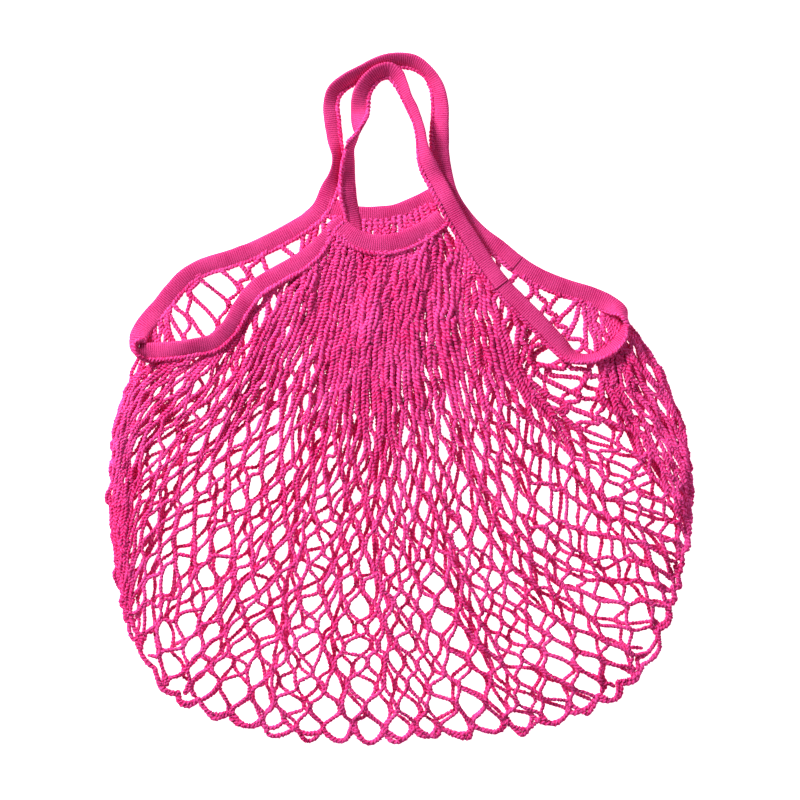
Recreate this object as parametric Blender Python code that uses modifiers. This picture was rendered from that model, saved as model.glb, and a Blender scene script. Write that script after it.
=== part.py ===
"""A net shopping bag laid flat: one net body, a knitted tape round its mouth, and two short tape handles.

The bag lies on its back layer, on the plane z = 0. Its handles point along +Y and its front layer faces +Z.
"""

import math

import bmesh
import bpy
import numpy as np
from mathutils import Vector, geometry

# Units and the whole bag
MM = 0.001
NAME = "net_bag"
BASE = 0.0
GAP = 0.3

# Knitted tape of the binding and the handles, in millimetres
TAPE_WIDTH = 14.3
TAPE_THICKNESS = 2.2
TAPE_EDGE_ROUND = 0.6
TAPE_STEP = 6.5
NET_CLEARANCE = 0.9
SHARE_NUDGE = 0.002
TAPE_COLOUR = (0.74, 0.035, 0.2)

# Net body, in millimetres
SHEET = 2.4
BACK_HEIGHT = SHEET / 2
LAYER_SPACE = 5.7
FRONT_HEIGHT = BACK_HEIGHT + SHEET + LAYER_SPACE
JOIN_HEIGHT = BACK_HEIGHT + 1.0
JOIN_RUN = 15.0
BACK_SHRINK = 0.996
BAR_HALF = 2.1
BORDER_BAR = 3.4
LEAST_HOLE_SHARE = 0.3
GROOVE = 0.7
SCALLOP = 3.0
ROW_NUDGE = 0.2
CORD_COLOUR = (0.72, 0.02, 0.16)
COLUMNS = 36
HALF_ROWS = 12
BORDER_STEPS = 4
RIM_STEPS = 6

# A mesh of the real net is half of a cell here each way, and is cut where its gap passes 4 mm
CORD = 3.1
LEAST_GAP = 4.0
LEAST_CELL_WIDTH = 2 * (LEAST_GAP + 2 * CORD)
LEAST_CELL_HEIGHT = 14.0

# Height of the front layer's tape above the base
FRONT_TAPE = FRONT_HEIGHT - TAPE_THICKNESS / 2
ON_BACK = SHEET + GAP

# Each tape's route: x, y, height of its lower edge, roll in degrees, share of the full width
MOUTH_BAND_FRONT = (
    (-43.6, 128.4, FRONT_TAPE, 0, 1.0),
    (-36.8, 122.4, FRONT_TAPE, 0, 1.05),
    (-27.2, 118.0, FRONT_TAPE, 0, 1.08),
    (-13.0, 115.9, FRONT_TAPE, 0, 1.08),
    (1.5, 118.6, FRONT_TAPE, 0, 1.08),
    (15.0, 124.6, FRONT_TAPE, 0, 1.05),
    (25.0, 130.9, FRONT_TAPE, 0, 1.0),
    (31.2, 135.9, FRONT_TAPE, 0, 1.0),
)
MOUTH_BAND_BACK = (
    (-46.0, 141.0, BASE, 0, 0.9),
    (-34.0, 138.9, BASE, 0, 1.0),
    (-15.7, 138.6, BASE, 0, 1.0),
    (-3.0, 140.2, BASE, 0, 1.0),
    (10.0, 145.0, BASE, 0, 1.0),
    (22.6, 151.4, BASE, 0, 1.0),
    (26.8, 153.6, BASE, 0, 1.0),
)
SIDE_BAND_LEFT = (
    (-44.6, 134.6, FRONT_TAPE, 0, 0.45),
    (-50.3, 129.0, FRONT_TAPE, 0, 0.5),
    (-55.5, 122.3, FRONT_TAPE, 0, 0.68),
    (-62.0, 113.5, FRONT_TAPE, 0, 0.9),
    (-72.2, 104.7, FRONT_TAPE, 0, 1.0),
    (-90.5, 94.0, FRONT_TAPE, 0, 1.0),
    (-106.7, 83.6, FRONT_TAPE, 0, 1.0),
    (-117.5, 70.5, FRONT_TAPE, 0, 1.0),
    (-128.5, 52.5, FRONT_TAPE, 0, 1.0),
    (-139.0, 43.0, FRONT_TAPE, 0, 1.0),
    (-154.0, 39.4, FRONT_TAPE, 0, 1.0),
    (-171.8, 36.4, FRONT_TAPE, 4, 1.0),
    (-185.5, 34.8, 7.0, 20, 1.0),
    (-194.0, 37.6, ON_BACK, 50, 1.0),
    (-197.6, 45.0, ON_BACK, 76, 1.0),
    (-194.6, 52.8, ON_BACK, 118, 1.0),
    (-188.4, 60.2, BASE, 155, 1.0),
    (-178.5, 71.4, BASE, 178, 1.0),
    (-169.8, 82.3, BASE, 180, 1.0),
    (-160.0, 92.4, BASE, 180, 1.0),
    (-147.8, 99.2, BASE, 180, 1.0),
    (-129.0, 105.2, BASE, 180, 1.0),
    (-111.5, 111.5, BASE, 180, 1.0),
    (-95.2, 119.1, BASE, 180, 1.0),
    (-79.5, 127.6, BASE, 180, 1.0),
)
SIDE_BAND_RIGHT = (
    (73.7, 88.0, FRONT_TAPE, 0, 1.0),
    (83.5, 77.4, FRONT_TAPE, 0, 1.0),
    (95.0, 66.0, FRONT_TAPE, 0, 1.0),
    (107.5, 53.2, FRONT_TAPE, 0, 1.0),
    (118.4, 41.4, 7.4, -8, 1.0),
    (126.6, 33.6, 4.6, -34, 1.0),
    (136.4, 30.6, ON_BACK, -54, 1.0),
    (147.6, 32.4, ON_BACK, -56, 1.0),
    (157.4, 37.4, ON_BACK, -52, 1.0),
    (165.6, 45.8, ON_BACK, -54, 1.0),
    (169.6, 55.4, ON_BACK, -76, 1.0),
    (167.0, 65.0, ON_BACK, -118, 1.0),
    (158.4, 71.4, BASE, -155, 1.0),
    (145.0, 77.4, BASE, -176, 1.0),
    (121.0, 85.0, BASE, -180, 1.0),
    (104.6, 91.8, BASE, -180, 1.0),
    (91.2, 99.6, BASE, -180, 1.0),
    (85.4, 103.9, BASE, -180, 1.0),
)
HANDLE_FRONT = (
    (-34.4, 128.2, ON_BACK, 0, 0.8),
    (-36.4, 140.0, ON_BACK, 12, 0.85),
    (-39.2, 154.0, ON_BACK, 24, 1.0),
    (-39.7, 167.0, 0.8, 32, 1.0),
    (-38.9, 179.6, BASE, 48, 1.0),
    (-37.4, 189.2, BASE, 64, 1.0),
    (-32.8, 197.0, BASE, 88, 1.0),
    (-30.8, 206.0, BASE, 132, 1.0),
    (-30.0, 214.4, BASE, 170, 1.0),
    (-29.8, 223.0, BASE, 190, 1.0),
    (-28.0, 232.0, BASE, 208, 1.0),
    (-22.4, 240.6, BASE, 212, 1.0),
    (-14.8, 246.0, BASE, 212, 1.0),
    (-8.2, 247.4, BASE, 212, 1.0),
    (-2.6, 243.8, BASE, 216, 1.0),
    (1.6, 236.4, BASE, 234, 1.0),
    (5.6, 227.0, BASE, 244, 1.0),
    (10.0, 218.2, BASE, 244, 1.0),
    (13.4, 209.6, BASE, 248, 1.0),
    (15.8, 201.0, BASE, 246, 1.0),
    (17.0, 192.4, BASE, 242, 1.0),
    (18.6, 183.6, 1.0, 226, 1.0),
    (21.4, 175.2, 3.0, 200, 1.0),
    (25.6, 166.6, 4.2, 183, 1.0),
    (33.4, 151.4, FRONT_TAPE, 180, 1.0),
    (42.4, 134.6, FRONT_TAPE, 180, 1.0),
    (52.8, 118.2, FRONT_TAPE, 180, 1.0),
    (63.2, 102.0, FRONT_TAPE, 180, 1.0),
    (72.8, 89.1, FRONT_TAPE, 180, 1.0),
)
HANDLE_BACK = (
    (-79.0, 127.9, BASE, 0, 1.0),
    (-68.4, 134.6, BASE, 0, 1.0),
    (-59.8, 143.2, BASE, 0, 1.0),
    (-53.0, 157.4, BASE, 18, 1.0),
    (-48.4, 169.6, BASE, 52, 1.0),
    (-47.2, 180.2, BASE, 70, 1.0),
    (-49.4, 196.6, BASE, 58, 1.0),
    (-50.8, 208.2, BASE, 44, 1.0),
    (-52.0, 221.4, BASE, 60, 1.0),
    (-49.4, 231.4, BASE, 58, 1.0),
    (-41.4, 238.6, BASE, 40, 1.0),
    (-27.4, 246.0, BASE, 34, 1.0),
    (-14.7, 252.4, BASE, 34, 1.0),
    (-1.8, 255.0, BASE, 38, 1.0),
    (10.4, 253.4, BASE, 48, 1.0),
    (20.8, 246.4, BASE, 58, 1.0),
    (27.8, 234.8, BASE, 48, 1.0),
    (30.2, 221.8, BASE, 36, 1.0),
    (30.0, 205.6, BASE, 22, 1.0),
    (29.8, 188.4, BASE, 2, 1.0),
    (32.0, 171.4, BASE, 0, 1.0),
    (35.4, 157.4, BASE, 0, 1.0),
    (41.4, 145.4, BASE, 0, 1.0),
    (49.6, 134.4, BASE, 0, 1.0),
    (61.2, 122.8, BASE, 0, 1.0),
    (75.0, 112.6, BASE, 0, 1.0),
    (84.8, 104.3, BASE, 0, 1.0),
)
TAPES = {
    "mouth_band_front": MOUTH_BAND_FRONT,
    "mouth_band_back": MOUTH_BAND_BACK,
    "side_band_left": SIDE_BAND_LEFT,
    "side_band_right": SIDE_BAND_RIGHT,
    "handle_front": HANDLE_FRONT,
    "handle_back": HANDLE_BACK,
}

# Where the net hangs from the tape: tape, side of its route (1 is left), first column and share of its
# length, last column and share
FRONT_RIM = (
    ("side_band_left", 1, 0.0, 0.512, 6.0, 0.335),
    ("side_band_left", 1, 6.0, 0.335, 8.4, 0.055),
    ("mouth_band_front", -1, 8.4, 0.03, 27.6, 0.93),
    ("handle_front", -1, 27.6, 0.868, 29.2, 0.985),
    ("side_band_right", -1, 29.2, 0.01, 32.0, 0.325),
    ("side_band_right", -1, 32.0, 0.325, 36.0, 0.572),
)
BACK_RIM = (
    ("side_band_left", -1, 0.0, 0.6, 6.6, 0.985),
    ("handle_back", -1, 6.6, 0.01, 8.4, 0.062),
    ("mouth_band_back", -1, 8.4, 0.06, 27.6, 0.95),
    ("handle_back", -1, 27.6, 0.905, 29.6, 0.99),
    ("side_band_right", 1, 29.6, 0.985, 36.0, 0.65),
)

# Lines of the net's columns below the rim: column, then x and y at three places and at the border
COLUMN_LINES = (
    (0, -208, 12, -214, -9, -217, -27, -217.5, -45),
    (2, -190, 4, -205, -26, -213, -58, -220, -90),
    (4, -165, 0, -193, -41, -208, -86, -218, -131),
    (6, -141, 11, -176, -45, -200, -101, -212, -154),
    (8, -84, 37, -129, -41, -174, -120, -204, -174),
    (10, -66, 37, -101, -45, -146, -142, -180, -217),
    (12, -50, 37, -75, -45, -112, -146, -141, -240),
    (14, -37, 37, -52, -45, -76, -150, -94, -253),
    (16, -25, 37, -34, -45, -45, -150, -47, -258),
    (18, -12, 37, -14, -45, -12, -150, 0, -259),
    (20, 3, 37, 9, -45, 22, -150, 48, -256),
    (22, 20, 39, 35, -41, 58, -146, 96, -251),
    (24, 41, 41, 64, -37, 96, -139, 142, -237),
    (26, 66, 41, 95, -30, 133, -124, 180, -212),
    (28, 86, 45, 126, -19, 169, -101, 204, -166),
    (30, 106, 22, 150, -30, 189, -90, 212, -144),
    (32, 134, -4, 174, -30, 201, -71, 217, -120),
    (34, 170, 5, 193, -11, 207, -45, 219, -79),
    (36, 190, 33, 202, 11, 210, -11, 216, -34),
)


# Smooth curves through rows of numbers
def smooth_route(rows):
    """The rows, their places along the route, and their slopes there."""
    rows = np.array(rows, float)
    steps = np.hypot(*np.diff(rows[:, :2], axis=0).T)
    places = np.concatenate([[0.0], np.cumsum(steps)])
    return rows, places, np.gradient(rows, places, axis=0)


def read_route(route, share):
    """The row at a share of the route's length."""
    rows, places, slopes = route
    place = min(max(share, 0.0), 1.0) * places[-1]
    first = min(int(np.searchsorted(places, place, side="right")) - 1, len(places) - 2)
    span = places[first + 1] - places[first]
    t = (place - places[first]) / span
    start, end = rows[first], rows[first + 1]
    start_pull, end_pull = slopes[first] * span, slopes[first + 1] * span
    return (
        (2 * t**3 - 3 * t**2 + 1) * start
        + (t**3 - 2 * t**2 + t) * start_pull
        + (3 * t**2 - 2 * t**3) * end
        + (t**3 - t**2) * end_pull
    )


def read_between(places, rows, place):
    """The row at a place between rows that stand at rising places."""
    rows = np.array(rows, float)
    slopes = np.gradient(rows, places, axis=0)
    shares = (np.array(places) - places[0]) / (places[-1] - places[0])
    route = rows, shares, slopes * (places[-1] - places[0])
    return read_route(route, (place - places[0]) / (places[-1] - places[0]))


# Knitted tape
def half_extents(roll, width):
    """Half of the tape's extent across its route and of its height, in millimetres."""
    across = TAPE_WIDTH / 2 * width
    thick = TAPE_THICKNESS / 2 * width
    side, rise = abs(math.cos(math.radians(roll))), abs(math.sin(math.radians(roll)))
    return across * side + thick * rise, across * rise + thick * side


def make_tape_profile(guides):
    """The tape's cross-section, a flat rectangle with its corners taken off."""
    x, y, cut = TAPE_WIDTH / 2, TAPE_THICKNESS / 2, TAPE_EDGE_ROUND
    corners = []
    for sx, sy in ((-1, -1), (-1, 1), (1, 1), (1, -1)):
        pair = [(sx * (x - cut), sy * y), (sx * x, sy * (y - cut))]
        corners += pair if sx * sy > 0 else pair[::-1]
    curve = bpy.data.curves.new("tape_profile", "CURVE")
    curve.dimensions = "2D"
    spline = curve.splines.new("POLY")
    spline.points.add(len(corners) - 1)
    for point, (px, py) in zip(spline.points, corners):
        point.co = (px * MM, py * MM, 0, 1)
    spline.use_cyclic_u = True
    profile = bpy.data.objects.new("tape_profile", curve)
    profile.hide_render = True
    profile.display_type = "WIRE"
    guides.objects.link(profile)
    return profile


def make_tape(name, rows, profile, collection, material):
    """One length of tape swept along its route, rolled about it."""
    route = smooth_route(rows)
    count = round(route[1][-1] / TAPE_STEP)
    curve = bpy.data.curves.new(name, "CURVE")
    curve.dimensions = "3D"
    curve.twist_mode = "Z_UP"
    curve.bevel_mode = "OBJECT"
    curve.bevel_object = profile
    curve.use_fill_caps = True
    spline = curve.splines.new("POLY")
    spline.points.add(count)
    for k, point in enumerate(spline.points):
        x, y, lift, roll, width = read_route(route, k / count)
        z = max(lift, BASE) + half_extents(roll, width)[1]
        point.co = (x * MM, y * MM, z * MM, 1)
        point.tilt = math.radians(roll)
        point.radius = width
    curve.materials.append(material)
    tape = bpy.data.objects.new(name, curve)
    collection.objects.link(tape)


# Net body
def rim_point(rim, column):
    """The place beside a tape's edge where a column of the net starts."""
    for name, side, first, first_share, last, last_share in rim:
        if column <= last:
            break
    route = smooth_route(TAPES[name])
    share = first_share + (last_share - first_share) * (column - first) / (last - first)
    here, ahead = read_route(route, share), read_route(route, share + SHARE_NUDGE)
    behind = read_route(route, share - SHARE_NUDGE)
    along = (ahead - behind)[:2] / np.hypot(*(ahead - behind)[:2])
    beside = np.array([-along[1], along[0]]) * side
    return here[:2] + beside * (half_extents(here[3], here[4])[0] + NET_CLEARANCE)


def column_route(rim, column):
    """The line of one column of the net, from the tape to the net's border."""
    table = np.array(COLUMN_LINES, float)
    line = read_between(table[:, 0], table[:, 1:], column)
    return smooth_route([rim_point(rim, column), *line.reshape(4, 2)])


def ease(share):
    share = min(max(share, 0.0), 1.0)
    return share * share * (3 - 2 * share)


def net_place(front, routes, column, row):
    """A point of the net's middle surface in millimetres, at a column and a half-row."""
    if column not in routes:
        routes[column] = column_route(FRONT_RIM if front else BACK_RIM, column)
    route = routes[column]
    x, y = read_route(route, row / HALF_ROWS)
    if not front:
        return np.array([x * BACK_SHRINK, y * BACK_SHRINK, BACK_HEIGHT])
    to_border = route[1][-1] * (1 - row / HALF_ROWS)
    to_side = min(column, COLUMNS - column) * JOIN_RUN
    up = ease(min(to_border, to_side) / JOIN_RUN)
    return np.array([x, y, JOIN_HEIGHT + (FRONT_HEIGHT - JOIN_HEIGHT) * up])


def border_points(front, routes, start, end):
    """Points between two knots on the border of the net, where the lower border hangs in scallops."""
    points = []
    steps = RIM_STEPS if start[1] == end[1] == 0 else BORDER_STEPS
    for k in range(1, steps):
        t = k / steps
        column, row = (a + (b - a) * t for a, b in zip(start, end))
        point = net_place(front, routes, column, row)
        if start[1] == end[1] == HALF_ROWS:
            outward = point - net_place(front, routes, column, row - ROW_NUDGE)
            outward[2] = 0
            point += outward / np.linalg.norm(outward) * SCALLOP * math.sin(math.pi * t)
        points.append(point)
    return points


def cell_corners(column, row):
    """The knots round a cell, and only those inside the net."""
    corners = ((column, row - 1), (column + 1, row), (column, row + 1), (column - 1, row))
    return [(c, r) for c, r in corners if 0 <= c <= COLUMNS and 0 <= r <= HALF_ROWS]


def on_border(start, end):
    """Whether both knots lie on one side of the net's border."""
    same_column = start[0] == end[0] and start[0] in (0, COLUMNS)
    same_row = start[1] == end[1] and start[1] in (0, HALF_ROWS)
    return same_column or same_row


def is_open(front, routes, column, row):
    """Whether the real meshes at this cell are wide enough to be cut through."""
    low_column, high_column = max(column - 1, 0), min(column + 1, COLUMNS)
    low_row, high_row = max(row - 1, 0), min(row + 1, HALF_ROWS)
    left = net_place(front, routes, low_column, row)[:2]
    right = net_place(front, routes, high_column, row)[:2]
    top = net_place(front, routes, column, low_row)[:2]
    bottom = net_place(front, routes, column, high_row)[:2]
    down = (bottom - top) / np.hypot(*(bottom - top))
    across = abs((right - left)[0] * down[1] - (right - left)[1] * down[0])
    whole = 2 / (high_column - low_column)
    tall = np.hypot(*(bottom - top)) * 2 / (high_row - low_row)
    return across * whole > LEAST_CELL_WIDTH and tall > LEAST_CELL_HEIGHT


def frame_cell(bm, loop, bar, is_cut):
    """A cell's frame of bars round its hole, or round its groove where it isn't cut through."""
    centre = sum((vert.co for vert in loop), Vector()) / len(loop)
    pairs = list(zip(loop, loop[1:] + loop[:1]))
    reach = min((geometry.intersect_point_line(centre, a.co, b.co)[0] - centre).length for a, b in pairs)
    share = max(1 - bar * MM / reach, LEAST_HOLE_SHARE)
    inner = {vert: bm.verts.new(centre + (vert.co - centre) * share) for vert in loop}
    for a, b in pairs:
        bm.faces.new((a, b, inner[b], inner[a]))
    if not is_cut:
        bm.faces.new([inner[vert] for vert in loop])
        for vert in inner.values():
            vert.co.z -= GROOVE * MM


def make_layer(name, front, guides):
    """One layer of the net: diamond cells as wide as two meshes, cut through where they are open."""
    bm = bmesh.new()
    knots, routes = {}, {}
    for column in range(COLUMNS + 1):
        for row in range(HALF_ROWS + 1):
            if (column + row) % 2 == 0:
                knots[column, row] = bm.verts.new(net_place(front, routes, column, row) * MM)
    for column in range(COLUMNS + 1):
        for row in range(HALF_ROWS + 1):
            if (column + row) % 2 == 0:
                continue
            corners = cell_corners(column, row)
            loop = []
            for start, end in zip(corners, corners[1:] + corners[:1]):
                loop.append(knots[start])
                if on_border(start, end):
                    between = border_points(front, routes, start, end)
                    loop += [bm.verts.new(point * MM) for point in between]
            is_cut = is_open(front, routes, column, row)
            if is_cut or (front and len(corners) == 4):
                frame_cell(bm, loop, BAR_HALF if len(corners) == 4 else BORDER_BAR, is_cut)
            else:
                bm.faces.new(loop)
    bmesh.ops.recalc_face_normals(bm, faces=bm.faces)
    if sum(face.normal.z * face.calc_area() for face in bm.faces) < 0:
        bmesh.ops.reverse_faces(bm, faces=bm.faces)
    mesh = bpy.data.meshes.new(name)
    bm.to_mesh(mesh)
    bm.free()
    layer = bpy.data.objects.new(name, mesh)
    guides.objects.link(layer)
    wall = layer.modifiers.new("thickness", "SOLIDIFY")
    wall.thickness = SHEET * MM
    wall.offset = 0
    return layer


def make_net(collection, guides, material):
    """The net body, its two layers joined down both sides and along the bottom."""
    net = make_layer("net", True, collection)
    back = make_layer("net_back_layer", False, guides)
    back.hide_render = True
    back.display_type = "WIRE"
    net.data.materials.append(material)
    join = net.modifiers.new("join_layers", "BOOLEAN")
    join.operation = "UNION"
    join.solver = "EXACT"
    join.object = back


# Materials
def make_material(name, colour, roughness):
    material = bpy.data.materials.new(name)
    material.use_nodes = True
    shader = material.node_tree.nodes["Principled BSDF"]
    shader.inputs["Base Color"].default_value = (*colour, 1)
    shader.inputs["Roughness"].default_value = roughness
    shader.inputs["Metallic"].default_value = 0.0
    return material


def make_collection(name):
    collection = bpy.data.collections.new(name)
    bpy.context.scene.collection.children.link(collection)
    return collection


def main():
    for old in list(bpy.data.objects):
        bpy.data.objects.remove(old, do_unlink=True)
    bag = make_collection(NAME)
    guides = make_collection(NAME + "_guides")
    profile = make_tape_profile(guides)
    for name, rows in TAPES.items():
        make_tape(name, rows, profile, bag, make_material(name, TAPE_COLOUR, 0.85))
    make_net(bag, guides, make_material("net_cord", CORD_COLOUR, 0.9))


main()
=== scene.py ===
"""A net shopping bag laid flat: its fine net, knitted tape and stitches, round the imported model.

Tables and named sizes are in millimetres, in the bag's own frame, except where a comment says metres.
Properties and finished pieces are in metres.
"""

import math

import bpy
import numpy as np
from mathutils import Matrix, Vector


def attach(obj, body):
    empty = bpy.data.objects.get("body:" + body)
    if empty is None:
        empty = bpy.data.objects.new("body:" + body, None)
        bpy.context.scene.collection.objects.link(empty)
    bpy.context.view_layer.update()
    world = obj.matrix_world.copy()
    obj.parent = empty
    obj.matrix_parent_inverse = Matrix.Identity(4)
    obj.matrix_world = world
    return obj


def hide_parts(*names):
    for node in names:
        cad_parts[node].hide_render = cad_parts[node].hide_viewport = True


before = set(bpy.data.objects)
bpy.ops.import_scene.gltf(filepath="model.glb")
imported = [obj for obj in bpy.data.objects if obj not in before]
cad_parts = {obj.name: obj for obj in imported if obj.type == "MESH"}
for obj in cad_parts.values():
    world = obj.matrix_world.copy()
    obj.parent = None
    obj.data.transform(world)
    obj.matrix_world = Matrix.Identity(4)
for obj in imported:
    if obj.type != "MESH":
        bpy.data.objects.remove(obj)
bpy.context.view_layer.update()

bl_info = {
    "name": "Net Bag",
    "version": (1, 0, 0),
    "blender": (4, 5, 0),
    "location": "3D View > Sidebar > Net Bag",
    "description": "Builds a flat-laid cotton net bag with knitted tape handles",
    "category": "Add Mesh",
}

# Units, names and the width that the photo shows, in metres
MM = 0.001
BODY = "root"
PHOTO_WIDTH = 0.6
UV_NAME = "surface"
TINY = 1e-12

# Tape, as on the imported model, and how far its plain ends overlap and its crown lifts it
TAPE_WIDTH = 14.3
TAPE_THICKNESS = 2.2
SHEET = 2.4
GAP = 0.3
BASE = 0.0
ON_BACK = SHEET + GAP
FRONT_TAPE = 8.2
END_OVERLAP = 1.1
CROWN_LIFT = 0.6

# A rolled tape's height grows softly with its roll, up to a factor of 1 on edge
ROLL_SOFTNESS = 0.12
FULL_RISE = 0.887

# Tape's profile: its points, its crown as factors of its thickness, how its ribs fade to its edges, and
# how unevenly wide it is
PROFILE_STEPS = 9
EDGE_CROWDING = 0.35
CROWN_EDGE = 0.12
CROWN_RISE = 1.5
CROWN_ROUNDNESS = 0.98
EDGE_PINCH = 0.995
EDGE_FROM = 0.98
RIB_FADE = ((0, 1), (0.8, 1), (1, 0.4))
EDGE_RIB = 0.8
EDGE_DRIFT = 0.012
DRIFT_STEPS = 12

# Rolled edges: points of the route and rings of the cord for each stitch, and how far in the edge lies
STITCH_POINTS = 8
STITCH_RINGS = 6
EDGE_INSET = 0.6
STITCH_SEED = 3

# Heights of the net's two layers: lying free, drawn together below the mouth, and joined at the border
BACK_LEVEL = 2.2
FRONT_LEVEL = 8.8
GATHERED_LEVEL = 6.0
JOIN_LEVEL = 2.6
JOIN_RUN = 22.0
RISE_RUN = 45.0

# Net: its columns lie on guides numbered 0 to 36, closer together towards both sides
COLUMNS = 41
COLUMN_GUIDES = ((0, 0), (10, 8), (30, 28), (41, 36))
HALF_COLUMNS = 2 * COLUMNS
ROUTE_STEPS = 160
NET_TUCK = 2.4
RIM_PROBE = 0.002

# Layers: name, whether it is the front one, and seed
LAYERS = (("net_front", True, 11), ("net_back", False, 47))

# Each tape's route: x, y, height of its lower edge, roll in degrees, share of the full width
MOUTH_BAND_FRONT = (
    (-43.6, 128.4, FRONT_TAPE, 0, 1.0),
    (-36.8, 122.4, FRONT_TAPE, 8, 1.05),
    (-27.2, 118.0, FRONT_TAPE, 8, 1.08),
    (-13.0, 115.9, FRONT_TAPE, 8, 1.08),
    (1.5, 118.6, FRONT_TAPE, 8, 1.08),
    (15.0, 124.6, FRONT_TAPE, 8, 1.05),
    (25.0, 130.9, FRONT_TAPE, 0, 1.0),
    (31.2, 135.9, FRONT_TAPE, 0, 1.0),
)
MOUTH_BAND_BACK = (
    (-46.0, 142.4, BASE, 0, 1.15),
    (-34.0, 138.9, BASE, 8, 1.0),
    (-15.7, 138.6, BASE, 8, 1.0),
    (-3.0, 140.2, BASE, 8, 1.0),
    (10.0, 145.0, BASE, 8, 1.0),
    (22.6, 151.4, BASE, 0, 1.0),
    (26.8, 153.6, BASE, 0, 1.0),
)
SIDE_BAND_LEFT = (
    (-44.6, 134.6, FRONT_TAPE, 0, 0.45),
    (-50.3, 129.0, FRONT_TAPE, 0, 0.5),
    (-55.5, 122.3, FRONT_TAPE, 0, 0.68),
    (-62.0, 113.5, FRONT_TAPE, 0, 0.9),
    (-72.2, 104.7, FRONT_TAPE, 0, 1.0),
    (-90.5, 94.0, FRONT_TAPE, 0, 1.0),
    (-106.7, 83.6, FRONT_TAPE, 0, 1.0),
    (-117.5, 70.5, FRONT_TAPE, -8, 1.0),
    (-128.5, 52.5, FRONT_TAPE, -18, 1.0),
    (-139.0, 43.0, FRONT_TAPE, -14, 1.0),
    (-154.0, 39.4, FRONT_TAPE, -24, 1.0),
    (-170.0, 37.0, FRONT_TAPE, -16, 1.0),
    (-184.5, 35.9, FRONT_TAPE, 0, 1.0),
    (-191.2, 35.8, 8.6, 14, 1.0),
    (-195.6, 37.0, 6.4, 58, 1.0),
    (-197.2, 40.6, ON_BACK, 126, 1.0),
    (-196.6, 46.8, ON_BACK, 152, 1.0),
    (-193.4, 53.6, BASE, 164, 1.0),
    (-187.8, 60.8, BASE, 172, 1.0),
    (-178.5, 71.4, BASE, 184, 1.0),
    (-169.8, 82.3, BASE, 189, 1.0),
    (-160.0, 92.4, BASE, 190, 1.0),
    (-147.8, 99.2, BASE, 190, 1.0),
    (-129.0, 105.2, BASE, 189, 1.0),
    (-111.5, 111.5, BASE, 187, 1.0),
    (-95.2, 119.1, BASE, 184, 1.0),
    (-79.5, 127.6, BASE, 180, 1.0),
)
SIDE_BAND_RIGHT = (
    (73.7, 88.0, FRONT_TAPE, 0, 1.0),
    (83.5, 77.4, FRONT_TAPE, 0, 1.0),
    (95.0, 66.0, FRONT_TAPE, 0, 1.0),
    (107.5, 53.2, FRONT_TAPE, 0, 1.0),
    (118.4, 41.4, 7.4, -8, 1.0),
    (126.6, 33.6, 4.6, -34, 1.0),
    (136.4, 30.6, ON_BACK, -54, 1.0),
    (147.6, 32.4, ON_BACK, -56, 1.0),
    (157.4, 37.4, ON_BACK, -52, 1.0),
    (165.6, 45.8, ON_BACK, -54, 1.0),
    (169.6, 55.4, ON_BACK, -76, 1.0),
    (167.0, 65.0, ON_BACK, -118, 1.0),
    (158.4, 71.4, BASE, -155, 1.0),
    (145.0, 77.4, BASE, -176, 1.0),
    (121.0, 85.0, BASE, -180, 1.0),
    (104.6, 91.8, BASE, -180, 1.0),
    (91.2, 99.6, BASE, -180, 1.0),
    (85.4, 103.9, BASE, -180, 1.0),
)
HANDLE_FRONT = (
    (-34.4, 128.2, ON_BACK, 0, 0.8),
    (-36.4, 140.0, ON_BACK, 12, 0.85),
    (-39.2, 154.0, ON_BACK, 24, 1.0),
    (-39.7, 167.0, 0.8, 32, 1.0),
    (-38.9, 179.6, BASE, 48, 1.0),
    (-37.4, 189.2, BASE, 64, 1.0),
    (-32.8, 197.0, BASE, 88, 1.0),
    (-30.8, 206.0, BASE, 132, 1.0),
    (-30.0, 214.4, BASE, 170, 1.0),
    (-29.8, 223.0, BASE, 190, 1.0),
    (-28.0, 232.0, BASE, 208, 1.0),
    (-22.4, 240.6, BASE, 220, 1.0),
    (-14.8, 246.0, BASE, 222, 1.0),
    (-8.2, 247.4, BASE, 222, 1.0),
    (-2.6, 243.8, BASE, 222, 1.0),
    (1.6, 236.4, BASE, 234, 1.0),
    (5.6, 227.0, BASE, 244, 1.0),
    (10.0, 218.2, BASE, 244, 1.0),
    (13.4, 209.6, BASE, 248, 1.0),
    (15.8, 201.0, BASE, 246, 1.0),
    (17.0, 192.4, BASE, 242, 1.0),
    (18.6, 183.6, 1.0, 226, 1.0),
    (21.4, 175.2, 3.0, 200, 1.0),
    (25.6, 166.6, 4.2, 183, 1.0),
    (33.4, 151.4, FRONT_TAPE, 180, 1.0),
    (42.4, 134.6, FRONT_TAPE, 180, 1.0),
    (52.8, 118.2, FRONT_TAPE, 180, 1.0),
    (63.2, 102.0, FRONT_TAPE, 180, 1.0),
    (72.8, 89.1, FRONT_TAPE, 180, 1.0),
)
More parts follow.
